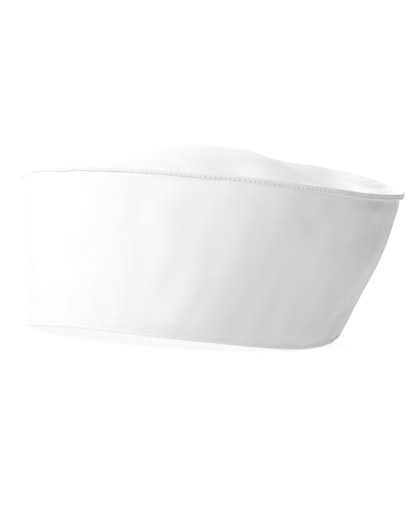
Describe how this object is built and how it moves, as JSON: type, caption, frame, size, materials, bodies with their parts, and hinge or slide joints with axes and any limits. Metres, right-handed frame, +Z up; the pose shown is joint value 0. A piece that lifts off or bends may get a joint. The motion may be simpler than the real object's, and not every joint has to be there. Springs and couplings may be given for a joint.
{
  "type": "chef's skull cap",
  "caption": "Low soft cook's cap: oval puffed crown with a standing stitched edge on a plain upright band, with an elasticated back.",
  "frame": {"origin": "centre of the bounding box in plan, on the plane that the hem stands on", "axes": "+Z up through the crown, +Y from the front of the cap to its back, +X to the wearer's left"},
  "size_m": [0.1764, 0.2403, 0.1175],
  "materials": {
    "twill": "white cotton twill, pressed, soft matt sheen",
    "thread": "white spun sewing thread",
    "binding_tape": "white cotton binding tape, plain weave",
    "elastic_braid": "white ribbed elastic braid",
    "label_tape": "white satin label tape, blank"
  },
  "bodies": {
    "cap": {"crown_panel": "twill", "crown_welt": "twill", "crown_topstitch": "thread", "crown_binding": "binding_tape", "side_band": "twill", "sweatband": "twill", "hem_topstitch": "thread", "left_back_stitch": "thread", "right_back_stitch": "thread", "care_label": "label_tape"},
    "back": {"back_panel": "twill", "back_elastic": "elastic_braid", "back_casing": "twill", "casing_stitch": "thread", "elastic_tacks": "thread"}
  },
  "joints": [
    {"name": "back_stretch", "type": "hinge", "parent": "cap", "child": "back", "pos_m": [0, 0.113, 0.089], "axis": [1, 0, 0], "range_deg": [0, 6], "stiffness_Nm_per_rad": 2, "springref_deg": -1.15}
  ]
}
